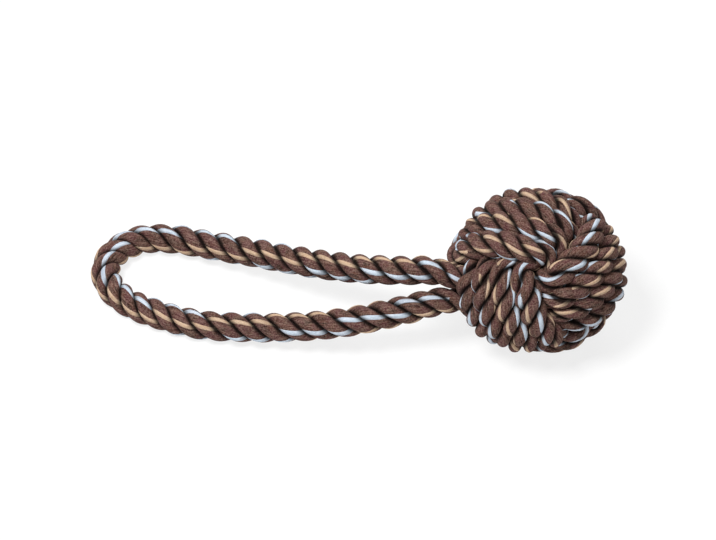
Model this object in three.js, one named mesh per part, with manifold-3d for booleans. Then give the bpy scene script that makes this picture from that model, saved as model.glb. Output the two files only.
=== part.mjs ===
// A rope dog toy: one length of twisted cotton rope, doubled into a loop handle, whose two legs are tied
// into a round fist knot over a rubber core. All lengths are in millimetres and +Z is up. The fist stands
// on two flats, the origin lies in one of them, and the handle points towards -X.
import * as THREE from "three";
import { mergeVertices } from "three/addons/utils/BufferGeometryUtils.js";
import Module from "manifold-3d";

const wasm = await Module();
wasm.setup();

// Driving dimensions
const handleRope = 12; // the rope's diameter where it lies free
const turnSpacing = 9.7; // from turn to turn in the fist, where the rope is pulled tight
const jointGap = 0.3; // between faces that meet
const standCut = 2; // from the turns' full reach down to the flat that the lowest of them stands on
const knotFlexLength = 18; // of each leg, where it bends beside the knot
const loopFlexStart = 100; // along -X, where each leg's second bending stretch begins
const loopFlexEnd = 124; // along -X, where that stretch ends

// The fist's shape, in shares of the turn spacing
const outerShare = 3.44; // radius of the outer turns' middle line
const layerShare = 0.94; // how far an inner stretch lies beneath the turns that cross it
const crestHalfShare = 1.55; // half the width of an outer arc
const bedHalfShare = 1.33; // half the width of an inner stretch
const standShares = { crest: 1, shoulder: 0.975, dive: 0.823, bed: 0.863 }; // how a band draws together
const diveRiseShare = 0.75; // where the dive's middle stands between the bed and the shoulder
const innermostShare = 0.5; // where a band's two middle turns lie in its stack
const standPlaceShares = [0.506, 0.291]; // from beneath the fist's middle to the flat with the origin

// The tied fist's width, depth and height, in shares of a round one's
const stretchShares = [1.055, 0.955, 0.98];

// The tube's radius at each 15 degrees of a quarter turn, from its crest to the middle of its bed
const radiusShares = [0.5, 0.5, 0.43, 0.3, 0.3, 0.35, 0.36];

const outerRadius = outerShare * turnSpacing;
const fistReach = outerRadius + radiusShares[0] * turnSpacing;
const fistHeight = stretchShares[2] * fistReach - standCut;

// The fist's attitude: one of its three-turn corners faces forward and up
const cornerElevation = THREE.MathUtils.degToRad(50);
const sideBearing = THREE.MathUtils.degToRad(237);
const cheekBearing = THREE.MathUtils.degToRad(-3);
const crownBearing = THREE.MathUtils.degToRad(117);

// Counts
const quarterSteps = 6;
const turnSteps = 4 * quarterSteps;
const windingSides = 6;
const handleSides = 10;
const legSteps = 5;
const flexSteps = 4;
const bendSteps = 26;
const coreSegments = 24;
const coreRings = 16;
const halvings = 40;

// The handle's middle line from the far leg's exit, round the bend, to the near leg's exit
const handleRoute = [
  [-46.4, -4.2, 40.1],
  [-62, -0.2, 35.7],
  [-84, 7.4, 28.4],
  [-106, 17.5, 21],
  [-129, 28.8, 14],
  [-148, 37.2, 9],
  [-166, 43, 6.6],
  [-180.2, 43, 6],
  [-191, 36.4, 6],
  [-196, 25.5, 6],
  [-193.2, 14.4, 6],
  [-184.5, 5.4, 6],
  [-170, -1.9, 6],
  [-152, -7.7, 6.3],
  [-129, -11.2, 8.5],
  [-106, -14.4, 13.1],
  [-84, -16.3, 18.9],
  [-62, -15, 24.7],
  [-45.4, -12.4, 28],
];

const ropeMaterial = () =>
  new THREE.MeshStandardMaterial({ color: 0x4d352d, roughness: 0.92, metalness: 0 });
const rubberMaterial = () =>
  new THREE.MeshStandardMaterial({ color: 0x2b2a29, roughness: 0.7, metalness: 0 });

// One axis of the fist, seen from its forward corner at a bearing from the right
function fistAxis(bearing) {
  const right = new THREE.Vector3(1, 0, 0);
  const up = new THREE.Vector3(0, Math.sin(cornerElevation), Math.cos(cornerElevation));
  const forward = new THREE.Vector3(0, -Math.cos(cornerElevation), Math.sin(cornerElevation));
  return right
    .multiplyScalar(Math.sqrt(2 / 3) * Math.cos(bearing))
    .addScaledVector(up, Math.sqrt(2 / 3) * Math.sin(bearing))
    .addScaledVector(forward, Math.sqrt(1 / 3));
}

const fist = new THREE.Group();
fist.quaternion.setFromRotationMatrix(
  new THREE.Matrix4().makeBasis(fistAxis(sideBearing), fistAxis(cheekBearing), fistAxis(crownBearing)),
);
const stretchedFist = new THREE.Group();
stretchedFist.scale.set(...stretchShares);
stretchedFist.position.z = fistHeight;
stretchedFist.add(fist);
stretchedFist.updateMatrixWorld(true);
const handle = new THREE.Group();

// A band of turns is stacked along one of the fist's axes, crests on another and beds on the third
const sideAxis = new THREE.Vector3(1, 0, 0);
const cheekAxis = new THREE.Vector3(0, 1, 0);
const crownAxis = new THREE.Vector3(0, 0, 1);
const crownBand = { stack: sideAxis, crest: crownAxis, bed: cheekAxis };
const cheekBand = { stack: crownAxis, crest: cheekAxis, bed: sideAxis.clone().negate() };
const sideBand = { stack: cheekAxis, crest: sideAxis.clone().negate(), bed: crownAxis };

// The points of a quarter turn, from the middle of its crest to the middle of its bed
function quarterTurn(stackShare) {
  const at = (name) => stackShare * turnSpacing * standShares[name];
  const arc = (stand, along) => Math.sqrt(outerRadius ** 2 - stand ** 2 - along ** 2);
  const onCrest = (name, along) => ({ stand: at(name), up: arc(at(name), along), along });
  const onBed = (up) => ({ stand: at("bed"), up, along: arc(at("bed"), up) - layerShare * turnSpacing });
  const crestHalf = crestHalfShare * turnSpacing;
  const bedHalf = bedHalfShare * turnSpacing;
  const shoulder = onCrest("shoulder", crestHalf);
  const bedEdge = onBed(bedHalf);
  const dive = {
    stand: at("dive"),
    up: THREE.MathUtils.lerp(bedHalf, shoulder.up, diveRiseShare),
    along: bedEdge.along,
  };
  return [
    onCrest("crest", 0),
    onCrest("crest", crestHalf / 2),
    shoulder,
    dive,
    bedEdge,
    onBed(bedHalf / 2),
    onBed(0),
  ];
}

// The point of a band at a step along its turns, with the tube's radius there. Step 0 is on a crest.
function bandStation(band, step, stackShare) {
  const turn = ((step % turnSteps) + turnSteps) % turnSteps;
  const quarterIndex = Math.floor(turn / quarterSteps);
  const within = turn - quarterIndex * quarterSteps;
  const fromCrest = quarterIndex % 2 === 0 ? within : quarterSteps - within;
  const upSign = quarterIndex === 0 || quarterIndex === 3 ? 1 : -1;
  const alongSign = quarterIndex < 2 ? 1 : -1;
  const { stand, up, along } = quarterTurn(stackShare)[fromCrest];
  const point = new THREE.Vector3()
    .addScaledVector(band.stack, stand)
    .addScaledVector(band.crest, upSign * up)
    .addScaledVector(band.bed, alongSign * along);
  return { point, radius: radiusShares[fromCrest] * turnSpacing, binormal: band.stack };
}

// A value that eases between keyed steps
function keyed(keys, step) {
  const after = keys.findIndex(([at]) => at >= step);
  if (after === -1) return keys[keys.length - 1][1];
  if (after === 0) return keys[0][1];
  const [from, low] = keys[after - 1];
  const [to, high] = keys[after];
  return THREE.MathUtils.lerp(low, high, THREE.MathUtils.smoothstep(step, from, to));
}

// The stations of a band from one step to another, with its place in the stack keyed by step
function bandRun(band, from, to, stackKeys) {
  const run = [];
  for (let step = from; step <= to; step += 1) run.push(bandStation(band, step, keyed(stackKeys, step)));
  return run;
}

// Stations given by hand, in shares of the turn spacing
function freeRun(band, rows) {
  return rows.map(([x, y, z, radiusShare]) => ({
    point: new THREE.Vector3(x, y, z).multiplyScalar(turnSpacing),
    radius: radiusShare * turnSpacing,
    binormal: band.stack,
  }));
}

// The rings of a tube through its stations
function ringsOf(stations, sides) {
  return stations.map(({ point, radius, binormal, facing }, i) => {
    const before = stations[Math.max(i - 1, 0)].point;
    const after = stations[Math.min(i + 1, stations.length - 1)].point;
    const tangent = facing ?? after.clone().sub(before).normalize();
    const across = binormal.clone().addScaledVector(tangent, -binormal.dot(tangent)).normalize();
    const outward = new THREE.Vector3().crossVectors(across, tangent);
    const ring = [];
    for (let k = 0; k < sides; k += 1) {
      const angle = (2 * Math.PI * k) / sides;
      ring.push(
        point
          .clone()
          .addScaledVector(outward, radius * Math.cos(angle))
          .addScaledVector(across, radius * Math.sin(angle)),
      );
    }
    return ring;
  });
}

// One closed tube over rings of equal count
function tubeGeometry(rings) {
  const sides = rings[0].length;
  const positions = rings.flat().flatMap((p) => [p.x, p.y, p.z]);
  const index = [];
  for (let i = 0; i + 1 < rings.length; i += 1) {
    for (let k = 0; k < sides; k += 1) {
      const a = i * sides + k;
      const b = i * sides + ((k + 1) % sides);
      index.push(a, b, b + sides, a, b + sides, a + sides);
    }
  }
  const last = (rings.length - 1) * sides;
  for (let k = 1; k + 1 < sides; k += 1) {
    index.push(0, k + 1, k);
    index.push(last, last + k, last + k + 1);
  }
  const geometry = new THREE.BufferGeometry();
  geometry.setAttribute("position", new THREE.Float32BufferAttribute(positions, 3));
  geometry.setIndex(index);
  return geometry;
}

// The least distance between points of a winding that lie more than half a turn apart along it
function leastSelfGap(localRings) {
  const rings = localRings.map((ring) => ring.map((p) => fist.localToWorld(p.clone())));
  let least = Infinity;
  for (let i = 0; i < rings.length; i += 1) {
    for (let j = i + 2 * quarterSteps; j < rings.length; j += 1) {
      for (const p of rings[i]) {
        for (const q of rings[j]) least = Math.min(least, p.distanceTo(q));
      }
    }
  }
  return least;
}

// A geometry as a solid that can be cut
function solidOf(geometry) {
  const bare = geometry.clone();
  bare.deleteAttribute("normal");
  bare.deleteAttribute("uv");
  const merged = mergeVertices(bare);
  return new wasm.Manifold(
    new wasm.Mesh({
      numProp: 3,
      vertProperties: new Float32Array(merged.attributes.position.array),
      triVerts: new Uint32Array(merged.index.array),
    }),
  );
}

function geometryOf(solid) {
  const { vertProperties, triVerts } = solid.getMesh();
  const geometry = new THREE.BufferGeometry();
  geometry.setAttribute("position", new THREE.BufferAttribute(vertProperties, 3));
  geometry.setIndex(new THREE.BufferAttribute(triVerts, 1));
  geometry.computeVertexNormals();
  return geometry;
}

// The ground as a slab in the fist's frame, for the flat that the turns stand on
function groundSlab() {
  const slab = new THREE.BoxGeometry(2 * fistReach, 2 * fistReach, fistReach);
  slab.translate(0, 0, -fistReach / 2);
  slab.applyMatrix4(fist.matrixWorld.clone().invert());
  return solidOf(slab);
}

function addMesh(group, name, geometry, material) {
  const mesh = new THREE.Mesh(geometry, material);
  mesh.name = name;
  group.add(mesh);
}

// A tied winding, cut flat where it reaches the ground
function addWinding(name, stations) {
  const rings = ringsOf(stations, windingSides);
  console.log(name, "least gap to itself", leastSelfGap(rings).toFixed(2), "mm");
  const solid = solidOf(tubeGeometry(rings)).subtract(groundSlab());
  addMesh(fist, name, geometryOf(solid), ropeMaterial());
}

// Where a rope lies in its band's stack, in turn spacings, by step: it moves over beneath a crossing band
const fourTurnKeys = [[15, 1.5], [21, 0.5], [39, 0.5], [45, -0.5], [63, -0.5], [69, -1.5]];
const farCheekKeys = [[0, 1.5]];
const nearCheekKeys = [
  [0, 0.5], [12, 0], [15, -0.88], [18, -0.5], [24, -0.5], [36, -1.15], [39, -1.68], [41, -1.5],
];

const handleCurve = new THREE.CatmullRomCurve3(handleRoute.map((p) => new THREE.Vector3(...p)));
const handleLength = handleCurve.getLength();

// A leg's end face, where the handle's free rope begins
function legFace(at, intoKnot) {
  const facing = handleCurve.getTangentAt(at).multiplyScalar(intoKnot);
  const normalToLocal = new THREE.Matrix3().setFromMatrix4(fist.matrixWorld).transpose();
  return {
    point: fist.worldToLocal(handleCurve.getPointAt(at)),
    radius: handleRope / 2,
    binormal: crownAxis,
    facing: facing.applyMatrix3(normalToLocal).normalize(),
  };
}

// The steps at which each rope enters and leaves a band: it ends beneath the turns that cross it last
const cheekStart = -quarterSteps - 1;
const farCheekEnd = 2 * quarterSteps + 1;
const nearCheekEnd = 2 * turnSteps + 1;
const lastBandStart = -2;
const crownEnd = 4 * turnSteps - 8;
const sideEnd = crownEnd - 1;

// Each leg passes in beneath the side band's edge, in turn spacings and the tube's radius share
const farLead = [
  [2.25, -2.72, 1.62, 0.5],
  [2.12, -2.2, 1.36, 0.4],
  [1.85, -1.45, 1.32, 0.34],
];
const nearLead = [
  [2.62, -2.8, 0.36, 0.5],
  [2.33, -2.24, 0.1, 0.37],
  [2.12, -1.47, 0.15, 0.34],
];
// Where a rope turns from one band into the next
const farCorner = [[1.3, -2.42, 1.91, 0.4]];
const nearCorner = [[-1.92, 2.5, -1.52, 0.38]];

// Splits a run of stations in two, with faces a joint gap apart
function splitAt(stations, index) {
  const along = stations[index + 1].point.clone().sub(stations[index - 1].point).normalize();
  const face = (sign) => ({
    ...stations[index],
    point: stations[index].point.clone().addScaledVector(along, (sign * jointGap) / 2),
    facing: along,
  });
  return [
    [...stations.slice(0, index), face(-1)],
    [face(1), ...stations.slice(index + 1)],
  ];
}

const crownRun = bandRun(crownBand, lastBandStart, crownEnd, fourTurnKeys);
const sideRun = bandRun(sideBand, lastBandStart, sideEnd, fourTurnKeys);
const farRope = [
  legFace(0, -1),
  ...freeRun(cheekBand, farLead),
  ...bandRun(cheekBand, cheekStart, farCheekEnd, farCheekKeys),
  ...freeRun(crownBand, farCorner),
  ...crownRun,
];
const nearRope = [
  legFace(1, 1),
  ...freeRun(cheekBand, nearLead),
  ...bandRun(cheekBand, cheekStart, nearCheekEnd, nearCheekKeys),
  ...freeRun(sideBand, nearCorner),
  ...sideRun,
];
const [farTurn, crownWinding] = splitAt(farRope, farRope.length - crownRun.length - 1);
const [nearWinding, sideWinding] = splitAt(nearRope, nearRope.length - sideRun.length - 1);
addWinding("far_leg_turn", farTurn);
addWinding("crown_winding", crownWinding);
addWinding("near_leg_winding", nearWinding);
addWinding("side_winding", sideWinding);

// The core fills the room inside the innermost stretches
const innermost = bandStation(crownBand, quarterSteps, innermostShare);
const coreRadius = innermost.point.length() - innermost.radius - jointGap;
addMesh(fist, "core_ball", new THREE.SphereGeometry(coreRadius, coreSegments, coreRings), rubberMaterial());

// A stretch of the handle between two lengths along it
class HandleStretch extends THREE.Curve {
  constructor(from, to) {
    super();
    this.from = from / handleLength;
    this.to = to / handleLength;
  }
  getPoint(t, target = new THREE.Vector3()) {
    return target.copy(handleCurve.getPointAt(THREE.MathUtils.lerp(this.from, this.to, t)));
  }
}

function ropeSection() {
  const section = new THREE.Shape();
  for (let k = 0; k < handleSides; k += 1) {
    const angle = (2 * Math.PI * k) / handleSides;
    const x = (handleRope / 2) * Math.cos(angle);
    const y = (handleRope / 2) * Math.sin(angle);
    if (k === 0) section.moveTo(x, y);
    else section.lineTo(x, y);
  }
  return section;
}

function addStretch(name, from, to, steps) {
  const geometry = new THREE.ExtrudeGeometry(ropeSection(), {
    steps,
    bevelEnabled: false,
    extrudePath: new HandleStretch(from + jointGap / 2, to - jointGap / 2),
  });
  addMesh(handle, name, geometry, ropeMaterial());
}

// The length along the handle at which a leg has gone a distance along -X
function lengthAt(reach, nearLeg) {
  let low = nearLeg ? handleLength / 2 : 0;
  let high = nearLeg ? handleLength : handleLength / 2;
  for (let i = 0; i < halvings; i += 1) {
    const middle = (low + high) / 2;
    const beyond = -handleCurve.getPointAt(middle / handleLength).x > reach;
    if (beyond === nearLeg) low = middle;
    else high = middle;
  }
  return low;
}

const farMarks = [
  jointGap / 2,
  knotFlexLength,
  lengthAt(loopFlexStart, false),
  lengthAt(loopFlexEnd, false),
];
const nearMarks = [
  handleLength - jointGap / 2,
  handleLength - knotFlexLength,
  lengthAt(loopFlexStart, true),
  lengthAt(loopFlexEnd, true),
];
addStretch("far_leg_knot_flex", farMarks[0], farMarks[1], flexSteps);
addStretch("far_leg", farMarks[1], farMarks[2], legSteps);
addStretch("far_leg_loop_flex", farMarks[2], farMarks[3], flexSteps);
addStretch("loop_end", farMarks[3], nearMarks[3], bendSteps);
addStretch("near_leg_loop_flex", nearMarks[3], nearMarks[2], flexSteps);
addStretch("near_leg", nearMarks[2], nearMarks[1], legSteps);
addStretch("near_leg_knot_flex", nearMarks[1], nearMarks[0], flexSteps);

const toy = new THREE.Group();
toy.add(stretchedFist, handle);
toy.position.set(-standPlaceShares[0] * turnSpacing, -standPlaceShares[1] * turnSpacing, 0);
export default toy;
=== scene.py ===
import math
import bpy
import numpy as np
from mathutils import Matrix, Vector


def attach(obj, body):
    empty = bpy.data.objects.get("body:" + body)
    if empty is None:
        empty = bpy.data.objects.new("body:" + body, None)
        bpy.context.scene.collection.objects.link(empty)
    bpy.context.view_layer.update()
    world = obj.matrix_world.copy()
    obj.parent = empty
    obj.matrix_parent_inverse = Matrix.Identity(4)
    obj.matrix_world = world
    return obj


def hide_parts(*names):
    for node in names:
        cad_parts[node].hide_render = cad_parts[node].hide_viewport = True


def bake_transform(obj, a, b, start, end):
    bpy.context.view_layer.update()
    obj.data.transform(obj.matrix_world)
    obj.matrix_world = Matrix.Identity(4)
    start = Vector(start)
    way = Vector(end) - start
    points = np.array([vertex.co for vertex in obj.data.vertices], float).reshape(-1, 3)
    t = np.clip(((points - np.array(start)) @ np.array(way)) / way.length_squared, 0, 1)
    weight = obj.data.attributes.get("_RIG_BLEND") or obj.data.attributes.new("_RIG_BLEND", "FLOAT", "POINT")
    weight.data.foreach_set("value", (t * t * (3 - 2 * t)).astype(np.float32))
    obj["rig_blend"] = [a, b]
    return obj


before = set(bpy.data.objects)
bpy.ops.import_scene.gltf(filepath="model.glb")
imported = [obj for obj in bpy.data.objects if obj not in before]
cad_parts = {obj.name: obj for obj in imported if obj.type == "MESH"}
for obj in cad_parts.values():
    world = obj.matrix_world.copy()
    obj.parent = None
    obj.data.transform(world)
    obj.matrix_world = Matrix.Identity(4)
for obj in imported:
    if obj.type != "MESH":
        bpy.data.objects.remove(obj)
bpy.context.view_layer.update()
scene = bpy.context.scene

photoView = {
    "elevation": 50.0,       # degrees above the ground
    "lens": 250.0,           # mm
    "distance": 2.2375,      # from the point aimed at
    "aim": (-0.0853, -0.0033, 0.0363),
}


def makeCamera(v):
    data = bpy.data.cameras.new("photoCamera")
    data.lens = v["lens"]
    camera = bpy.data.objects.new("photoCamera", data)
    scene.collection.objects.link(camera)
    lift = math.radians(v["elevation"])
    back = Vector((0, -math.cos(lift), math.sin(lift)))
    camera.location = Vector(v["aim"]) + back * v["distance"]
    camera.rotation_euler = (math.pi / 2 - lift, 0, 0)
    scene.camera = camera


makeCamera(photoView)
print("stage: camera ready")

# The rope's line. It repeats the CAD's numbers, in metres, but the rope in the fist is a little plumper.
fist = {
    "spacing": 0.0097,       # from turn to turn
    "outer": 3.44,           # these follow in shares of the spacing
    "layer": 0.94,
    "crestHalf": 1.55,
    "bedHalf": 1.33,
    "diveRise": 0.75,
    "stand": {"crest": 1.0, "shoulder": 0.975, "dive": 0.823, "bed": 0.863},
    "reach": 0.5,            # the outer turns' radius
    "standPlace": (0.506, 0.291),  # from beneath the fist's middle to the origin
    "standCut": 0.002,       # metres, off the lowest turns
    "stretch": (1.055, 0.955, 0.98),  # width, depth and height against a round fist's
    "elevation": 50.0,       # degrees, as the three bearings
    "bearings": (237.0, -3.0, 117.0),
    "radii": (0.595, 0.595, 0.57, 0.5, 0.45, 0.44, 0.44),  # the rope's, from crest to bed
    "leadRadius": 0.53,      # on its way in
    "cornerRadius": 0.45,    # where it changes band
}
quarterSteps = 6             # along a band, from a crest to a bed
bandSteps = {"farCheek": (-7, 13), "crown": (-2, 88), "nearCheek": (-7, 49), "side": (-2, 87)}
# Steps along a band, and the turn's place across it in turns
fourTurnKeys = [(15, 1.5), (21, 0.5), (39, 0.5), (45, -0.5), (63, -0.5), (69, -1.5)]
farCheekKeys = [(0, 1.5)]
nearCheekKeys = [
    (0, 0.5), (12, 0), (15, -0.88), (18, -0.5), (24, -0.5), (36, -1.15), (39, -1.68), (41, -1.5),
]
# Places between the bands, in turn spacings along the fist's three axes
farLead = [(2.25, -2.72, 1.62), (2.12, -2.2, 1.36), (1.85, -1.45, 1.32)]
nearLead = [(2.62, -2.8, 0.36), (2.33, -2.24, 0.1), (2.12, -1.47, 0.15)]
farCorner = [(1.3, -2.42, 1.91)]
nearCorner = [(-1.92, 2.5, -1.52)]
# The handle's line in mm, from the knot's far face round the loop to its near face
handleRoute = [
    (-46.4, -4.2, 40.1), (-62, -0.2, 35.7), (-84, 7.4, 28.4), (-106, 17.5, 21), (-129, 28.8, 14),
    (-148, 37.2, 9), (-166, 43, 6.6), (-180.2, 43, 6), (-191, 36.4, 6), (-196, 25.5, 6),
    (-193.2, 14.4, 6), (-184.5, 5.4, 6), (-170, -1.9, 6), (-152, -7.7, 6.3), (-129, -11.2, 8.5),
    (-106, -14.4, 13.1), (-84, -16.3, 18.9), (-62, -15, 24.7), (-45.4, -12.4, 28),
]
rope = {
    "diameter": 0.012,       # where it lies free
    "legFaceRadius": 0.0058,
    "farLay": 0.0307,        # one full twist of the three strands in the far leg's run
    "bendLay": 0.0255,       # round the loop's end
    "nearLay": 0.0296,       # in the near leg's run
    "fistLay": 0.0255,       # and in the fist
    "bend": (0.1439, 0.2262),  # where the loop's end begins and ends along the handle
    "farYarn": 1.1403,       # turns of the yarns in a strand, against one of the strands in the rope
    "bendYarn": 1.0684,
    "nearYarn": 1.1862,
    "fistYarn": 1.04,
    "layBlend": 0.03,        # from one lay to the next
    "tiedBlend": 0.01,       # into the fist, where the brown yarns start to cover the tracers
    "fineStep": 0.0002,      # between points of the first, finer line
    "step": 0.00095,         # between rings
    "smoothing": 1.6,        # of the line in the fist, in rings
    "handleTwist": 4.0,      # degrees: turns the strands round the rope
    "yarnStart": 144.6,      # degrees: turns the yarns in each strand
    "unevenTurn": 7.0,       # degrees: how far the strands' turn wanders
    "unevenLength": 0.018,
    "handleStray": 4.0,      # degrees: how far the yarns of one strand stray from the others'
    "fistStray": 110.0,
    "seed": 5,
}


def fistAxis(bearing):
    lift = math.radians(fist["elevation"])
    turn = math.radians(bearing)
    right = np.array((1.0, 0.0, 0.0))
    up = np.array((0.0, math.sin(lift), math.cos(lift)))
    forward = np.array((0.0, -math.cos(lift), math.sin(lift)))
    spread = math.sqrt(2 / 3)
    return spread * (math.cos(turn) * right + math.sin(turn) * up) + math.sqrt(1 / 3) * forward


spacing = fist["spacing"]
outerRadius = fist["outer"] * spacing
stretch = np.array(fist["stretch"])
fistHeight = stretch[2] * (outerRadius + fist["reach"] * spacing) - fist["standCut"]
origin = np.array((-fist["standPlace"][0] * spacing, -fist["standPlace"][1] * spacing, 0.0))
fistCentre = origin + np.array((0.0, 0.0, fistHeight))
fistAxes = np.array([fistAxis(b) for b in fist["bearings"]])
sideAxis, cheekAxis, crownAxis = np.eye(3)
crownBand = (sideAxis, crownAxis, cheekAxis)      # stacked along, crests on, beds on
cheekBand = (crownAxis, cheekAxis, -sideAxis)
sideBand = (cheekAxis, -sideAxis, crownAxis)


# One turn's rows from its crest to its bed: along the stack, outwards and along the band
def quarterTurn(place):
    def arc(stand, along):
        return math.sqrt(outerRadius ** 2 - stand ** 2 - along ** 2)

    at = {name: place * spacing * share for name, share in fist["stand"].items()}
    crestHalf = fist["crestHalf"] * spacing
    bedHalf = fist["bedHalf"] * spacing
    sink = fist["layer"] * spacing
    rise = arc(at["shoulder"], crestHalf)
    edge = arc(at["bed"], bedHalf) - sink
    return [
        (at["crest"], arc(at["crest"], 0), 0),
        (at["crest"], arc(at["crest"], crestHalf / 2), crestHalf / 2),
        (at["shoulder"], rise, crestHalf),
        (at["dive"], bedHalf + (rise - bedHalf) * fist["diveRise"], edge),
        (at["bed"], bedHalf, edge),
        (at["bed"], bedHalf / 2, arc(at["bed"], bedHalf / 2) - sink),
        (at["bed"], 0, arc(at["bed"], 0) - sink),
    ]


# The eased value between the keys at a step
def keyed(keys, step):
    for (a, low), (b, high) in zip(keys, keys[1:]):
        if a < step <= b:
            t = (step - a) / (b - a)
            return low + (high - low) * t * t * (3 - 2 * t)
    return keys[0][1] if step <= keys[0][0] else keys[-1][1]


# The points and radii of a band's turns, in the fist's own axes
def bandRun(band, first, last, keys):
    run = []
    for step in range(first, last + 1):
        quarter, within = divmod(step % (4 * quarterSteps), quarterSteps)
        i = within if quarter % 2 == 0 else quarterSteps - within
        stand, up, along = quarterTurn(keyed(keys, step))[i]
        stack, crest, bed = band
        upWay, alongWay = (1 if quarter in (0, 3) else -1), (1 if quarter < 2 else -1)
        p = stack * stand + crest * up * upWay + bed * along * alongWay
        run.append((p, fist["radii"][i] * spacing))
    return run


def freeRun(rows, radius):
    return [(np.array(p) * spacing, radius * spacing) for p in rows]


def fistToWorld(run):
    return [(fistCentre + (p @ fistAxes) * stretch, radius) for p, radius in run]


farFist = fistToWorld(
    freeRun(farLead, fist["leadRadius"]) + bandRun(cheekBand, *bandSteps["farCheek"], farCheekKeys)
    + freeRun(farCorner, fist["cornerRadius"]) + bandRun(crownBand, *bandSteps["crown"], fourTurnKeys)
)
nearFist = fistToWorld(
    freeRun(nearLead, fist["leadRadius"]) + bandRun(cheekBand, *bandSteps["nearCheek"], nearCheekKeys)
    + freeRun(nearCorner, fist["cornerRadius"]) + bandRun(sideBand, *bandSteps["side"], fourTurnKeys)
)
handleLine = [(origin + np.array(p) / 1000, rope["diameter"] / 2) for p in handleRoute]
handleLine[0] = (handleLine[0][0], rope["legFaceRadius"])
handleLine[-1] = (handleLine[-1][0], rope["legFaceRadius"])


# A smooth line through the points, with the values carried along
def centripetal(points, values, perStep):
    p = np.vstack([2 * points[0] - points[1], points, 2 * points[-1] - points[-2]])
    out, carried = [], []
    for i in range(1, len(p) - 2):
        p0, p1, p2, p3 = p[i - 1:i + 3]
        d0, d1, d2 = (max(np.linalg.norm(b - a) ** 0.5, 1e-6) for a, b in ((p0, p1), (p1, p2), (p2, p3)))
        t1 = ((p1 - p0) / d0 - (p2 - p0) / (d0 + d1) + (p2 - p1) / d1) * d1
        t2 = ((p2 - p1) / d1 - (p3 - p1) / (d1 + d2) + (p3 - p2) / d2) * d1
        n = max(2, int(np.linalg.norm(p2 - p1) / perStep))
        t = (np.arange(n) / n)[:, None]
        out.append(
            p1 * (2 * t ** 3 - 3 * t ** 2 + 1) + t1 * (t ** 3 - 2 * t ** 2 + t)
            + p2 * (3 * t ** 2 - 2 * t ** 3) + t2 * (t ** 3 - t ** 2)
        )
        ease = t[:, 0] ** 2 * (3 - 2 * t[:, 0])
        carried.append(values[i - 1] + (values[i] - values[i - 1]) * ease)
    out.append(p[-2:-1])
    carried.append(values[-1:])
    return np.vstack(out), np.concatenate(carried)


def blurred(values, width):
    reach = int(4 * width)
    kernel = np.exp(-0.5 * (np.arange(-reach, reach + 1) / width) ** 2)
    kernel /= kernel.sum()
    padded = np.pad(values, ((reach, reach), (0, 0)), mode="edge")
    smooth = [np.convolve(padded[:, k], kernel, mode="valid") for k in range(values.shape[1])]
    return np.stack(smooth, axis=1)


# Carries one sideways direction along the line without turning it round the line
def carryNormal(place, tangent, middle):
    normal = np.zeros_like(place)
    start = np.array((0.0, 0.0, 1.0))
    normal[middle] = start - tangent[middle] * (start @ tangent[middle])
    normal[middle] /= np.linalg.norm(normal[middle])
    for order, way in ((range(middle, len(place) - 1), 1), (range(middle, 0, -1), -1)):
        for i in order:
            j = i + way
            v1 = place[j] - place[i]
            c1 = v1 @ v1
            n = normal[i] - 2 / c1 * (v1 @ normal[i]) * v1
            t = tangent[i] - 2 / c1 * (v1 @ tangent[i]) * v1
            v2 = tangent[j] - t
            c2 = v2 @ v2
            normal[j] = n - (2 / c2 * (v2 @ n) * v2 if c2 > 1e-18 else 0)
    return normal


def eased(values):
    t = np.clip(values, 0, 1)
    return t * t * (3 - 2 * t)


# The rates added up along the rope, 0 at its middle ring
def summedFrom(rates, even, middle):
    total = np.concatenate([[0], np.cumsum(0.5 * (rates[1:] + rates[:-1]) * np.diff(even))])
    return total - total[middle]


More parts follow.
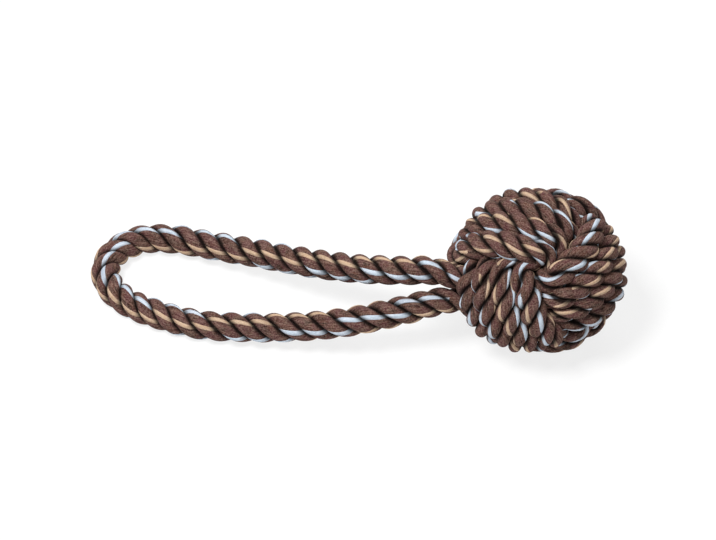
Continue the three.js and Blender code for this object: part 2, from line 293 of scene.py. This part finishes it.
# The whole rope as evenly spaced rings. Length 0 is the knot's far face, and span its near face.
def ropeLine():
    whole = farFist[::-1] + handleLine + nearFist
    points = np.array([p for p, _ in whole])
    radii = np.array([r for _, r in whole])
    fine, fineRadii = centripetal(points, radii, rope["fineStep"])
    along = np.concatenate([[0], np.cumsum(np.linalg.norm(np.diff(fine, axis=0), axis=1))])
    marks = [along[np.linalg.norm(fine - handleLine[i][0], axis=1).argmin()] for i in (0, -1)]
    count = int(along[-1] / rope["step"])
    even = np.linspace(0, along[-1], count + 1)
    place = np.stack([np.interp(even, along, fine[:, k]) for k in range(3)], axis=1)
    radius = np.interp(even, along, fineRadii)
    length = even - marks[0]
    span = marks[1] - marks[0]
    inFist = (length < 0) | (length > span)
    place = np.where(inFist[:, None], blurred(place, rope["smoothing"]), place)
    tangent = np.gradient(place, axis=0)
    tangent /= np.linalg.norm(tangent, axis=1)[:, None]
    middle = int(np.abs(length - 0.5 * span).argmin())
    normal = carryNormal(place, tangent, middle)

    fistShare = eased(np.maximum(-length, length - span) / rope["layBlend"] + 0.5)
    pastFar, pastBend = (eased((length - end) / rope["layBlend"] + 0.5) for end in rope["bend"])

    def mixed(name):
        inHandle = rope["far" + name] * (1 - pastFar) + rope["bend" + name] * (pastFar - pastBend)
        inHandle += rope["near" + name] * pastBend
        return inHandle * (1 - fistShare) + rope["fist" + name] * fistShare

    rate = 2 * math.pi / mixed("Lay")
    rng = np.random.default_rng(rope["seed"])
    uneven = blurred(rng.standard_normal((len(even), 1)), rope["unevenLength"] / rope["step"])[:, 0]
    uneven *= math.radians(rope["unevenTurn"]) / uneven.std()
    turn = summedFrom(rate, even, middle)
    yarn = -summedFrom(rate * (1 + mixed("Yarn")), even, middle)
    return {
        "place": place, "tangent": tangent, "normal": normal, "radius": radius, "rate": rate,
        "turn": turn + uneven + math.radians(rope["handleTwist"]), "yarn": yarn - uneven,
        "length": length, "span": span,
        "stray": np.radians(rope["handleStray"] * (1 - fistShare) + rope["fistStray"] * fistShare),
        "tied": eased(np.maximum(-length, length - span) / rope["tiedBlend"]),
    }


line = ropeLine()
print("stage: rope line of", len(line["length"]), "rings")


# Short ways to add nodes to a tree and link them
class Wires:
    def __init__(self, tree):
        self.tree = tree

    def put(self, kind, inputs=(), **settings):
        node = self.tree.nodes.new(kind)
        for name, value in settings.items():
            setattr(node, name, value)
        for key, value in dict(inputs).items():
            self.feed(node.inputs[key], value)
        return node

    def feed(self, socket, value):
        if isinstance(value, bpy.types.NodeSocket):
            self.tree.links.new(value, socket)
        else:
            socket.default_value = value

    def calc(self, operation, a, b=0.0, c=0.0):
        return self.put("ShaderNodeMath", {0: a, 1: b, 2: c}, operation=operation).outputs[0]

    def vector(self, operation, a, b=(0, 0, 0)):
        return self.put("ShaderNodeVectorMath", {0: a, 1: b}, operation=operation).outputs["Vector"]

    def times(self, a, factor):
        return self.put("ShaderNodeVectorMath", {0: a, "Scale": factor}, operation="SCALE").outputs["Vector"]

    def sum(self, *vectors):
        total = vectors[0]  # sumOf does the same for numbers
        for v in vectors[1:]:
            total = self.vector("ADD", total, v)
        return total

    def sumOf(self, *values):
        total = values[0]
        for v in values[1:]:
            total = self.calc("ADD", total, v)
        return total

    def named(self, name, kind="FLOAT"):
        node = self.put("GeometryNodeInputNamedAttribute", {"Name": name}, data_type=kind)
        return node.outputs["Attribute"]

    def store(self, geometry, name, value, kind="FLOAT", domain="POINT"):
        inputs = {"Geometry": geometry, "Name": name}
        node = self.put("GeometryNodeStoreNamedAttribute", inputs, data_type=kind, domain=domain)
        self.feed(node.inputs["Value"], value)
        return node.outputs["Geometry"]


def nodeGroup(name, kind, inputs, outputs):
    group = bpy.data.node_groups.new(name, kind)
    for label, socketType, value in inputs:
        socket = group.interface.new_socket(label, in_out="INPUT", socket_type="NodeSocket" + socketType)
        if value is not None:
            socket.default_value = value
    for label, socketType in outputs:
        group.interface.new_socket(label, in_out="OUTPUT", socket_type="NodeSocket" + socketType)
    wires = Wires(group)
    return group, wires, wires.put("NodeGroupInput").outputs, wires.put("NodeGroupOutput").inputs


strandLook = {
    "Strands": 3,
    "Centre Share": 0.625,   # of the rope's radius
    "Strand Share": 0.5,
    "Wedge": 0.01,           # draws a strand's section towards a third of the rope's
    "Uneven Strand": 0.12,
    "Strand Sides": 24,
    "Tracer Sides": 6,
    "Tan Angles": tuple(math.radians(a) for a in (0, -41.6, 12.9)),  # in each of the three strands
    "Tan Width": math.radians(46),
    "Blue Angles": tuple(math.radians(a) for a in (187.1, 145.5, 241.5)),
    "Blue Width": math.radians(54),
    "Tracer Height": 0.0005,
    "Tracer Rise": 0.00016,  # above the strand
    "Tracer Sink": 0.0007,   # where the brown yarns cover it
    "Sunk Share": 0.57,      # raise it and fewer dashes are covered
    "Floor Softness": 0.0004,
}
# Noise along the rope, each as its features per metre and the step from one strand's pattern to the next
strandNoise = {
    "stray": (22.0, 4.7),    # turns the yarns in a strand
    "strayGain": 4.0,        # brings that noise up to the stray asked for
    "thickness": (90.0, 7.3),
    "cover": (70.0, 3.9),    # the brown yarns that cover a tracer
    "coverEdge": 30.0,       # how abruptly they do
    "layers": {"Tan": 5.0, "Blue": 9.0},  # keep the two tracers' patterns apart
}


# A strand's centre and directions at a ring, from the attributes of the rope's line
def strandFrameGroup():
    group, w, given, result = nodeGroup("strandFrame", "GeometryNodeTree", [
        ("Strands", "Int", 3), ("Centre Share", "Float", 0.5), ("Strand Share", "Float", 0.5),
        ("Uneven Strand", "Float", 0.0), ("Yarn Start", "Float", 0.0), ("Colour", "Float", 0.0),
    ], [
        ("Centre", "Vector"), ("Out", "Vector"), ("Side", "Vector"),
        ("Yarn Angle", "Float"), ("Radius", "Float"), ("Cover", "Float"),
    ])
    place, along, across = (w.named(n, "FLOAT_VECTOR") for n in ("ropePlace", "ropeTangent", "ropeNormal"))
    radius, turn, rate = (w.named("rope" + n) for n in ("Radius", "Turn", "Rate"))
    yarn, stray, length = (w.named("rope" + n) for n in ("Yarn", "Stray", "Length"))
    strand = w.named("strand", "INT")

    def uneven(kind, layer=0.0, detail=1.0):
        scale, apart = strandNoise[kind]
        along, across = w.calc("MULTIPLY", length, scale), w.calc("MULTIPLY", strand, apart)
        spot = w.put("ShaderNodeCombineXYZ", {0: along, 1: across, 2: layer})
        noise = w.put("ShaderNodeTexNoise", {"Vector": spot.outputs[0], "Scale": 1.0, "Detail": detail})
        return w.calc("SUBTRACT", noise.outputs["Fac"], 0.5)

    part = w.calc("MULTIPLY", w.calc("DIVIDE", 2 * math.pi, given["Strands"]), strand)
    angle = w.calc("ADD", turn, part)
    beside = w.vector("CROSS_PRODUCT", along, across)
    cosine, sine = w.calc("COSINE", angle), w.calc("SINE", angle)
    out = w.sum(w.times(across, cosine), w.times(beside, sine))
    around = w.sum(w.times(beside, cosine), w.times(across, w.calc("MULTIPLY", sine, -1.0)))
    offset = w.calc("MULTIPLY", radius, given["Centre Share"])
    direction = w.vector("NORMALIZE", w.sum(along, w.times(around, w.calc("MULTIPLY", offset, rate))))
    w.feed(result["Centre"], w.sum(place, w.times(out, offset)))
    w.feed(result["Out"], out)
    w.feed(result["Side"], w.vector("CROSS_PRODUCT", direction, out))
    # The yarns turn against the strands, so that they lie along the rope where they show
    start = w.calc("SUBTRACT", given["Yarn Start"], w.calc("MULTIPLY", part, 2.0))
    own = w.calc("MULTIPLY", uneven("stray"), w.calc("MULTIPLY", stray, strandNoise["strayGain"]))
    w.feed(result["Yarn Angle"], w.sumOf(start, yarn, own))
    full = w.calc("MULTIPLY_ADD", uneven("thickness"), given["Uneven Strand"], 1.0)
    w.feed(result["Cover"], w.calc("ADD", uneven("cover", given["Colour"], 0.0), 0.5))
    w.feed(result["Radius"], w.calc("MULTIPLY", w.calc("MULTIPLY", radius, given["Strand Share"]), full))
    return group


strandFrame = strandFrameGroup()


# Three strands, each a closed tube, with a tan and a blue tracer yarn laid along each
def ropeGroup():
    group, w, given, result = nodeGroup("laidRope", "GeometryNodeTree", [
        ("Geometry", "Geometry", None), ("Strands", "Int", 3), ("Centre Share", "Float", 0.5),
        ("Strand Share", "Float", 0.5), ("Wedge", "Float", 0.0), ("Uneven Strand", "Float", 0.0),
        ("Yarn Start", "Float", 0.0), ("Strand Sides", "Int", 22), ("Tracer Sides", "Int", 8),
        ("Tan Angles", "Vector", (0, 0, 0)), ("Tan Width", "Float", 0.7),
        ("Blue Angles", "Vector", (3, 3, 3)), ("Blue Width", "Float", 0.9),
        ("Tracer Height", "Float", 0.0004), ("Tracer Rise", "Float", 0.0001),
        ("Tracer Sink", "Float", 0.0005), ("Sunk Share", "Float", 0.6), ("Floor Softness", "Float", 0.0004),
        ("Cotton", "Material", None), ("Tan Yarn", "Material", None), ("Blue Yarn", "Material", None),
    ], [("Geometry", "Geometry")])
    curve = w.put("GeometryNodeMeshToCurve", {"Mesh": given["Geometry"]}).outputs["Curve"]
    amount = {"Geometry": curve, "Amount": given["Strands"]}
    copies = w.put("GeometryNodeDuplicateElements", amount, domain="SPLINE")
    strands = w.store(copies.outputs["Geometry"], "strand", copies.outputs["Duplicate Index"], "INT")

    # Its points keep only their angle, and laid() gives them their place
    def tube(sides):
        circle = {"Resolution": sides, "Radius": 0.001}
        ring = w.put("GeometryNodeCurvePrimitiveCircle", circle, mode="RADIUS")
        step = w.calc("DIVIDE", 2 * math.pi, sides)
        angle = w.calc("MULTIPLY", step, w.put("GeometryNodeInputIndex").outputs[0])
        ring = w.store(ring.outputs["Curve"], "around", angle)
        made = w.put("GeometryNodeCurveToMesh", {"Curve": strands, "Profile Curve": ring, "Fill Caps": True})
        return made.outputs["Mesh"]

    def frameNode(colour=0.0):
        node = w.put("GeometryNodeGroup", node_tree=strandFrame)
        w.feed(node.inputs["Colour"], colour)
        for label in ("Strands", "Centre Share", "Strand Share", "Uneven Strand", "Yarn Start"):
            w.feed(node.inputs[label], given[label])
        return node.outputs

    def ofStrand(values):
        one = w.put("ShaderNodeSeparateXYZ", {0: values}).outputs
        strand = w.named("strand", "INT")
        chosen = [w.calc("COMPARE", strand, float(i), 0.1) for i in range(3)]
        return w.sumOf(*(w.calc("MULTIPLY", one[i], chosen[i]) for i in range(3)))

    def onStrand(f, angle, radius):
        corner = w.calc("COSINE", w.calc("MULTIPLY", angle, given["Strands"]))
        shape = w.calc("SUBTRACT", 1.0, w.calc("MULTIPLY", corner, given["Wedge"]))
        reach = w.calc("MULTIPLY", radius, shape)
        out = w.times(f["Out"], w.calc("MULTIPLY", w.calc("COSINE", angle), reach))
        return w.sum(f["Centre"], out, w.times(f["Side"], w.calc("MULTIPLY", w.calc("SINE", angle), reach)))

    def space(geometry, angle, radius):
        x = w.calc("MULTIPLY", w.calc("COSINE", angle), radius)
        y = w.calc("MULTIPLY", w.calc("SINE", angle), radius)
        place = w.put("ShaderNodeCombineXYZ", {0: x, 1: y, 2: w.named("ropeLength")}).outputs[0]
        return w.store(geometry, "yarnSpace", place, "FLOAT_VECTOR")

    def laid(geometry, f, angle, radius, material):
        # outward is how far the surface faces out, which the materials turn into painted shade in the grooves
        facing = w.store(geometry, "outward", w.calc("COSINE", angle))
        surface = onStrand(f, angle, radius)
        placed = w.put("GeometryNodeSetPosition", {"Geometry": facing, "Position": surface}).outputs[0]
        return w.put("GeometryNodeSetMaterial", {"Geometry": placed, "Material": material}).outputs[0]

    f = frameNode()
    around = w.named("around")
    body = space(tube(given["Strand Sides"]), around, f["Radius"])
    parts = [laid(body, f, w.calc("ADD", around, f["Yarn Angle"]), f["Radius"], given["Cotton"])]
    for colour, layer in strandNoise["layers"].items():
        f = frameNode(layer)
        around = w.named("around")
        half = w.calc("MULTIPLY", given[colour + " Width"], 0.5)
        middle = w.calc("ADD", f["Yarn Angle"], ofStrand(given[colour + " Angles"]))
        angle = w.calc("ADD", middle, w.calc("MULTIPLY", w.calc("SINE", around), half))
        halfHeight = w.calc("MULTIPLY", given["Tracer Height"], 0.5)
        covered = w.calc("SUBTRACT", f["Cover"], given["Sunk Share"])
        covered = w.calc("MULTIPLY", covered, strandNoise["coverEdge"])
        covered = w.put("ShaderNodeClamp", {"Value": covered}).outputs[0]
        sink = w.calc("MULTIPLY", w.calc("MULTIPLY", covered, w.named("ropeTied")), given["Tracer Sink"])
        rise = w.calc("SUBTRACT", given["Tracer Rise"], sink)
        base = w.calc("ADD", w.calc("SUBTRACT", f["Radius"], halfHeight), rise)
        radius = w.calc("ADD", base, w.calc("MULTIPLY", w.calc("COSINE", around), halfHeight))
        across = w.calc("MULTIPLY", w.calc("SINE", around), half)
        ribbon = space(tube(given["Tracer Sides"]), across, f["Radius"])
        parts.append(laid(ribbon, f, angle, radius, given[colour + " Yarn"]))
    join = w.put("GeometryNodeJoinGeometry")
    for part in reversed(parts):
        w.tree.links.new(part, join.inputs[0])
    # Whatever would pass through the ground is pressed flat on it
    place = w.put("ShaderNodeSeparateXYZ", {0: w.put("GeometryNodeInputPosition").outputs[0]}).outputs
    soft = w.calc("MULTIPLY", given["Floor Softness"], given["Floor Softness"])
    root = w.calc("SQRT", w.calc("ADD", w.calc("MULTIPLY", place["Z"], place["Z"]), soft))
    height = w.calc("MULTIPLY", w.calc("ADD", place["Z"], root), 0.5)
    pressed = w.put("ShaderNodeCombineXYZ", {0: place["X"], 1: place["Y"], 2: height}).outputs[0]
    pressed = w.put("GeometryNodeSetPosition", {"Geometry": join.outputs[0], "Position": pressed}).outputs[0]
    smooth = w.put("GeometryNodeSetShadeSmooth", {"Geometry": pressed, "Shade Smooth": True}).outputs[0]
    w.feed(result["Geometry"], w.put("GeometryNodeRealizeInstances", {"Geometry": smooth}).outputs[0])
    return group


laidRope = ropeGroup()
print("stage: rope nodes ready")


cottonGrain = {
    "streak": {"detail": 3.0, "along": 0.16},       # along: its scale along the strand, as a share
    "fleck": {"scale": 1500.0, "detail": 2.0, "roughness": 0.75},
    "tone": {"scale": 900.0, "detail": 2.0, "along": 0.35, "range": (0.4, 0.6)},
    "patch": {"scale": 240.0, "detail": 2.0, "range": (0.42, 0.62), "share": 0.8},
    "wobble": {"scale": 160.0, "detail": 1.0, "turn": 5.0},
    "valleyShade": 0.2,        # painted shade in the valleys between the yarns, as its share of the mix of dark and warm; the rest of the mix is the noise called tone
    "fleckShare": 0.6,       # of the light fibres, the rest being streaks
    "lightRange": (0.44, 0.66),
    "lightHeight": 0.5,
    "grooveEnd": 0.04,       # how far outwards a surface faces where the painted groove shade is darkest
    "roughness": (0.8, 0.12),  # of the dark fibres, and what the light ones add
    "bumpDistance": 0.0002,
    "sheenRoughness": 0.45,
}


# Spun cotton: yarn ridges along a strand, fibre streaks and a heather of two dyed tones with light flecks, with
# painted shade in the valleys between the yarns and in the grooves between the strands
def cottonGroup():
    grain = cottonGrain
    group, w, given, result = nodeGroup("cottonYarn", "ShaderNodeTree", [
        ("Dark", "Color", (0, 0, 0, 1)), ("Warm", "Color", (0, 0, 0, 1)), ("Light", "Color", (0, 0, 0, 1)),
        ("Hue Tone", "Color", (0, 0, 0, 1)), ("Yarns", "Float", 14.0), ("Fibre Scale", "Float", 2600.0),
        ("Fleck", "Float", 0.5), ("Ridge", "Float", 0.5),
        ("Groove", "Float", 0.7), ("Groove Start", "Float", 0.7),
    ], [("Color", "Color"), ("Height", "Float"), ("Roughness", "Float")])

    def noise(vector, scale, detail, roughness=0.6):
        values = {"Vector": vector, "Scale": scale, "Detail": detail, "Roughness": roughness}
        return w.put("ShaderNodeTexNoise", values).outputs["Fac"]

    def between(value, ends):
        inputs = {"Value": value, "From Min": ends[0], "From Max": ends[1]}
        return w.put("ShaderNodeMapRange", inputs).outputs[0]

    def mix(factor, a, b):
        node = w.put("ShaderNodeMix", {"Factor": factor}, data_type="RGBA")
        w.feed(node.inputs[6], a)
        w.feed(node.inputs[7], b)
        return node.outputs[2]

    v = w.put("ShaderNodeAttribute", attribute_name="yarnSpace", attribute_type="GEOMETRY").outputs["Vector"]
    place = w.put("ShaderNodeTexCoord").outputs["Object"]
    drawn = w.vector("MULTIPLY", v, (1.0, 1.0, grain["streak"]["along"]))
    streak = noise(drawn, given["Fibre Scale"], grain["streak"]["detail"])
    fleck = noise(place, grain["fleck"]["scale"], grain["fleck"]["detail"], grain["fleck"]["roughness"])
    drawn = w.vector("MULTIPLY", v, (1.0, 1.0, grain["tone"]["along"]))
    tone = noise(drawn, grain["tone"]["scale"], grain["tone"]["detail"])
    patch = noise(place, grain["patch"]["scale"], grain["patch"]["detail"])
    parts = w.put("ShaderNodeSeparateXYZ", {0: v}).outputs
    angle = w.calc("ARCTAN2", parts["Y"], parts["X"])
    wobble = noise(v, grain["wobble"]["scale"], grain["wobble"]["detail"])
    wobble = w.calc("MULTIPLY", wobble, grain["wobble"]["turn"])
    phase = w.calc("ADD", w.calc("MULTIPLY", angle, given["Yarns"]), wobble)
    ridge = w.calc("MULTIPLY_ADD", w.calc("COSINE", phase), 0.5, 0.5)
    tone = w.calc("MULTIPLY", between(tone, grain["tone"]["range"]), 1 - grain["valleyShade"])
    # The mix of dark and warm is partly the dyed tone and partly painted shade, leaning dark where the ridge is
    # low
    toneAndValleyShade = w.calc("MULTIPLY_ADD", ridge, grain["valleyShade"], tone)
    base = mix(toneAndValleyShade, given["Dark"], given["Warm"])
    patch = w.calc("MULTIPLY", between(patch, grain["patch"]["range"]), grain["patch"]["share"])
    base = mix(patch, base, given["Hue Tone"])
    streak = w.calc("MULTIPLY", streak, 1 - grain["fleckShare"])
    fibres = w.calc("ADD", streak, w.calc("MULTIPLY", fleck, grain["fleckShare"]))
    light = between(fibres, grain["lightRange"])
    yarn = mix(w.calc("MULTIPLY", light, given["Fleck"]), base, given["Light"])
    # Painted shade: little light reaches the grooves between the strands, so the colour is darkened there by how
    # far the surface faces outward
    outward = w.put("ShaderNodeAttribute", attribute_name="outward", attribute_type="GEOMETRY").outputs["Fac"]
    ends = {"Value": outward, "From Min": given["Groove Start"], "From Max": grain["grooveEnd"]}
    depth = w.put("ShaderNodeMapRange", ends, interpolation_type="SMOOTHSTEP").outputs[0]
    shade = w.calc("SUBTRACT", 1.0, w.calc("MULTIPLY", depth, given["Groove"]))
    w.feed(result["Color"], w.times(yarn, shade))
    ridgeHeight = w.calc("MULTIPLY", ridge, given["Ridge"])
    w.feed(result["Height"], w.calc("ADD", ridgeHeight, w.calc("MULTIPLY", light, grain["lightHeight"])))
    dull, added = grain["roughness"]
    w.feed(result["Roughness"], w.calc("MULTIPLY_ADD", light, added, dull))
    return group


cottonYarn = cottonGroup()


# A colour of 0 to 255 as the shader takes it
def linear(*rgb):
    def one(c):
        c /= 255
        return c / 12.92 if c <= 0.04045 else ((c + 0.055) / 1.055) ** 2.4
    return tuple(one(c) for c in rgb) + (1.0,)


def yarnMaterial(name, v):
    material = bpy.data.materials.new(name)
    material.use_nodes = True
    w = Wires(material.node_tree)
    shader = material.node_tree.nodes["Principled BSDF"]
    shader.inputs["Sheen Weight"].default_value = v["sheen"]
    shader.inputs["Sheen Roughness"].default_value = cottonGrain["sheenRoughness"]
    shader.inputs["Sheen Tint"].default_value = linear(*v["light"])
    shader.inputs["Specular IOR Level"].default_value = v["gloss"]
    group = w.put("ShaderNodeGroup", node_tree=cottonYarn)
    for label, key in (("Dark", "dark"), ("Warm", "warm"), ("Light", "light"), ("Hue Tone", "hueTone")):
        w.feed(group.inputs[label], linear(*v[key]))
    for label, key in (
        ("Yarns", "yarns"), ("Fibre Scale", "fibreScale"), ("Fleck", "fleck"), ("Ridge", "ridge"),
        ("Groove", "groove"), ("Groove Start", "grooveStart"),
    ):
        w.feed(group.inputs[label], v[key])
    bump = w.put("ShaderNodeBump", {
        "Height": group.outputs["Height"], "Strength": v["relief"], "Distance": cottonGrain["bumpDistance"],
    })
    w.feed(shader.inputs["Base Color"], group.outputs["Color"])
    w.feed(shader.inputs["Roughness"], group.outputs["Roughness"])
    w.feed(shader.inputs["Normal"], bump.outputs["Normal"])
    return material


# groove and grooveStart set the painted shade in the grooves between the strands
brownCotton = yarnMaterial("brownCotton", {
    "dark": (33, 20, 16), "warm": (88, 57, 48), "light": (170, 142, 128), "hueTone": (80, 45, 48),
    "yarns": 14.0, "fibreScale": 2200.0, "fleck": 0.54, "ridge": 0.6, "relief": 0.9,
    "groove": 0.92, "grooveStart": 0.74, "sheen": 0.04, "gloss": 0.08,
})
# On the tracers, groove and grooveStart paint shade where they run down into the grooves
tracerFibres = {
    "yarns": 6.0, "fibreScale": 2200.0, "fleck": 0.6, "ridge": 0.4, "relief": 0.6,
    "groove": 0.95, "grooveStart": 0.9, "sheen": 0.08, "gloss": 0.2,
}
blueYarn = yarnMaterial("blueYarn", {
    "dark": (156, 167, 181), "warm": (190, 199, 211), "light": (220, 225, 232), "hueTone": (180, 195, 209),
    **tracerFibres,
})
tanYarn = yarnMaterial("tanYarn", {
    "dark": (156, 128, 104), "warm": (188, 161, 136), "light": (218, 196, 172), "hueTone": (182, 150, 122),
    **tracerFibres,
})


def rubberMaterial(v):
    material = bpy.data.materials.new("rubberPaintedShade")
    material.use_nodes = True
    w = Wires(material.node_tree)
    place = w.put("ShaderNodeTexCoord").outputs["Object"]
    texture = {"Vector": place, "Scale": v["grain"], "Detail": v["detail"]}
    grain = w.put("ShaderNodeTexNoise", texture).outputs["Fac"]
    bump = w.put("ShaderNodeBump", {"Height": grain, "Strength": v["relief"], "Distance": v["bumpDistance"]})
    rough = w.put("ShaderNodeMapRange", {"Value": grain, "To Min": v["smooth"], "To Max": v["rough"]})
    shader = material.node_tree.nodes["Principled BSDF"]
    shader.inputs["Base Color"].default_value = linear(*v["colour"])
    w.feed(shader.inputs["Roughness"], rough.outputs[0])
    w.feed(shader.inputs["Normal"], bump.outputs["Normal"])
    return material


# Its dark brown is painted shade: it matches the shade between the rope's turns, where the core shows through the
# gaps
rubber = rubberMaterial({
    "colour": (48, 38, 35), "grain": 900.0, "detail": 4.0, "relief": 0.3, "bumpDistance": 0.0002,
    "smooth": 0.6, "rough": 0.85,
})
print("stage: materials ready")


def setInputs(modifier, values):
    for item in modifier.node_group.interface.items_tree:
        if item.item_type == "SOCKET" and item.in_out == "INPUT" and item.name in values:
            modifier[item.identifier] = values[item.name]


# One stretch of the rope, from ring to ring
def ropePiece(name, first, last):
    rings = slice(first, last + 1)
    mesh = bpy.data.meshes.new(name + "Line")
    points = line["place"][rings]
    mesh.from_pydata([tuple(p) for p in points], [(i, i + 1) for i in range(len(points) - 1)], [])
    for key in ("place", "tangent", "normal", "radius", "turn", "rate", "yarn", "stray", "tied", "length"):
        values = np.ascontiguousarray(line[key][rings], dtype=np.float32)
        isVector = values.ndim == 2
        kind = "FLOAT_VECTOR" if isVector else "FLOAT"
        attribute = mesh.attributes.new("rope" + key.capitalize(), kind, "POINT")
        attribute.data.foreach_set("vector" if isVector else "value", values.ravel())
    source = bpy.data.objects.new(name + "Line", mesh)
    scene.collection.objects.link(source)
    modifier = source.modifiers.new("laidRope", "NODES")
    modifier.node_group = laidRope
    setInputs(modifier, {
        **strandLook, "Yarn Start": math.radians(rope["yarnStart"]),
        "Cotton": brownCotton, "Tan Yarn": tanYarn, "Blue Yarn": blueYarn,
    })
    depsgraph = bpy.context.evaluated_depsgraph_get()
    made = bpy.data.meshes.new_from_object(source.evaluated_get(depsgraph), depsgraph=depsgraph)
    bpy.data.objects.remove(source)
    # The materials read only yarnSpace and outward
    spent = [a.name for a in made.attributes if a.name.startswith("rope") or a.name in ("strand", "around")]
    for label in spent:
        made.attributes.remove(made.attributes[label])
    made.name = name
    piece = bpy.data.objects.new(name, made)
    scene.collection.objects.link(piece)
    made.calc_loop_triangles()
    print("stage:", name, len(made.loop_triangles), "triangles")
    return piece


def ringAt(length):
    return int(np.abs(line["length"] - length).argmin())


def ringNearest(point, first, last):
    return first + int(np.linalg.norm(line["place"][first:last] - np.array(point), axis=1).argmin())


def cornerPlace(corner):
    return fistToWorld(freeRun(corner, fist["cornerRadius"]))[0][0]


pieces = {
    "leadLength": 0.022,     # of each leg inside the fist
    "seamX": -0.101,         # where the legs' pieces meet the loop's
    "knotFlex": 0.018,       # of each leg outside the knot, bending with knot_swing
    "loopFlex": (-0.1049, -0.1289),  # along X, bending with loop_lift
    "liftPoint": (0.0007, 0.0155),   # the Y and Z of its hinge
}
lastRing = len(line["length"]) - 1
span = line["span"]
farFace, nearFace = ringAt(0), ringAt(span)
farLeadRing, nearLeadRing = ringAt(-pieces["leadLength"]), ringAt(span + pieces["leadLength"])
middleRing = ringAt(span / 2)
farSeam = farFace + int(np.abs(line["place"][farFace:middleRing, 0] - pieces["seamX"]).argmin())
nearSeam = middleRing + int(np.abs(line["place"][middleRing:nearFace, 0] - pieces["seamX"]).argmin())
farCornerRing = ringNearest(cornerPlace(farCorner), 0, farFace)
nearCornerRing = ringNearest(cornerPlace(nearCorner), nearFace, lastRing)


def ropeCord(first, last):
    path = line["place"][first:last + 1]
    length = float(np.linalg.norm(np.diff(path, axis=0), axis=1).sum())


farLeg = ropePiece("farLegRope", farLeadRing, farSeam)
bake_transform(farLeg, "knot", "legs", start=line["place"][farFace], end=line["place"][ringAt(pieces["knotFlex"])])
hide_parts("far_leg_knot_flex", "far_leg")
ropeCord(farLeadRing, farSeam)

nearLeg = ropePiece("nearLegRope", nearSeam, nearLeadRing)
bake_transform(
    nearLeg, "knot", "legs", start=line["place"][nearFace],
    end=line["place"][ringAt(span - pieces["knotFlex"])],
)
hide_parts("near_leg_knot_flex", "near_leg")
ropeCord(nearSeam, nearLeadRing)

loopRope = ropePiece("loopRope", farSeam, nearSeam)
liftPoint = pieces["liftPoint"]
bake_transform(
    loopRope, "legs", "loop",
    start=(pieces["loopFlex"][0], *liftPoint), end=(pieces["loopFlex"][1], *liftPoint),
)
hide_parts("far_leg_loop_flex", "loop_end", "near_leg_loop_flex")
ropeCord(farSeam, nearSeam)

for name, first, last, node in (
    ("farTurnRope", farCornerRing, farLeadRing, "far_leg_turn"),
    ("crownRope", 0, farCornerRing, "crown_winding"),
    ("nearTurnRope", nearLeadRing, nearCornerRing, "near_leg_winding"),
    ("sideRope", nearCornerRing, lastRing, "side_winding"),
):
    piece = ropePiece(name, first, last)
    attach(piece, "knot")
    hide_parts(node)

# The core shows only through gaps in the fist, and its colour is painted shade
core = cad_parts["core_ball"]
core.data.materials.clear()
core.data.materials.append(rubber)


studio = {
    "floorSize": 4.0,
    "floorColour": (0.9, 0.9, 0.9, 1),
    "floorRoughness": 0.9,
    "floorWhite": 0.8,       # how much of the floor the camera sees as plain white
    "skyLight": 0.14,        # the white world's strength as a light
    "aim": (-0.08, 0, 0.02),
    "key": {"at": (-0.55, -0.3, 1.35), "size": 0.45, "power": 24.0},
    "fill": {"at": (0.9, -0.6, 0.9), "size": 0.8, "power": 3.0},
    "back": {"at": (0.1, 1.1, 1.0), "size": 0.8, "power": 8.0},
}


def makeStudio(v):
    half = v["floorSize"] / 2
    mesh = bpy.data.meshes.new("studioFloor")
    corners = [(-half, -half, 0), (half, -half, 0), (half, half, 0), (-half, half, 0)]
    mesh.from_pydata(corners, [], [(0, 1, 2, 3)])
    floor = bpy.data.objects.new("studioFloor", mesh)
    scene.collection.objects.link(floor)
    material = bpy.data.materials.new("paleFloor")
    material.use_nodes = True
    w = Wires(material.node_tree)
    shader = material.node_tree.nodes["Principled BSDF"]
    shader.inputs["Base Color"].default_value = v["floorColour"]
    shader.inputs["Roughness"].default_value = v["floorRoughness"]
    shader.inputs["Specular IOR Level"].default_value = 0.0
    white = w.put("ShaderNodeEmission", {"Strength": 1.0})
    path = w.put("ShaderNodeLightPath").outputs
    whitened = w.calc("MULTIPLY", path["Is Camera Ray"], v["floorWhite"])
    mix = w.put("ShaderNodeMixShader", {0: whitened, 1: shader.outputs[0], 2: white.outputs[0]})
    w.feed(material.node_tree.nodes["Material Output"].inputs["Surface"], mix.outputs[0])
    mesh.materials.append(material)
    world = bpy.data.worlds.new("studioWorld")
    scene.world = world
    world.use_nodes = True
    w = Wires(world.node_tree)
    # The world stays plain white where the camera sees it and in reflections
    path = w.put("ShaderNodeLightPath").outputs
    bright = w.calc("MAXIMUM", path["Is Glossy Ray"], path["Is Transmission Ray"])
    seen = w.calc("MAXIMUM", path["Is Camera Ray"], bright)
    strength = w.calc("MULTIPLY_ADD", seen, 1 - v["skyLight"], v["skyLight"])
    background = world.node_tree.nodes["Background"]
    background.inputs["Color"].default_value = (1, 1, 1, 1)
    w.feed(background.inputs["Strength"], strength)
    for name in ("key", "fill", "back"):
        lamp = v[name]
        data = bpy.data.lights.new(name + "Lamp", "AREA")
        data.size = lamp["size"]
        data.energy = lamp["power"]
        obj = bpy.data.objects.new(name + "Lamp", data)
        scene.collection.objects.link(obj)
        obj.location = lamp["at"]
        aim = Vector(v["aim"]) - Vector(lamp["at"])
        obj.rotation_euler = aim.to_track_quat("-Z", "Y").to_euler()


makeStudio(studio)
scene.view_settings.view_transform = "Standard"
print("stage: studio ready")
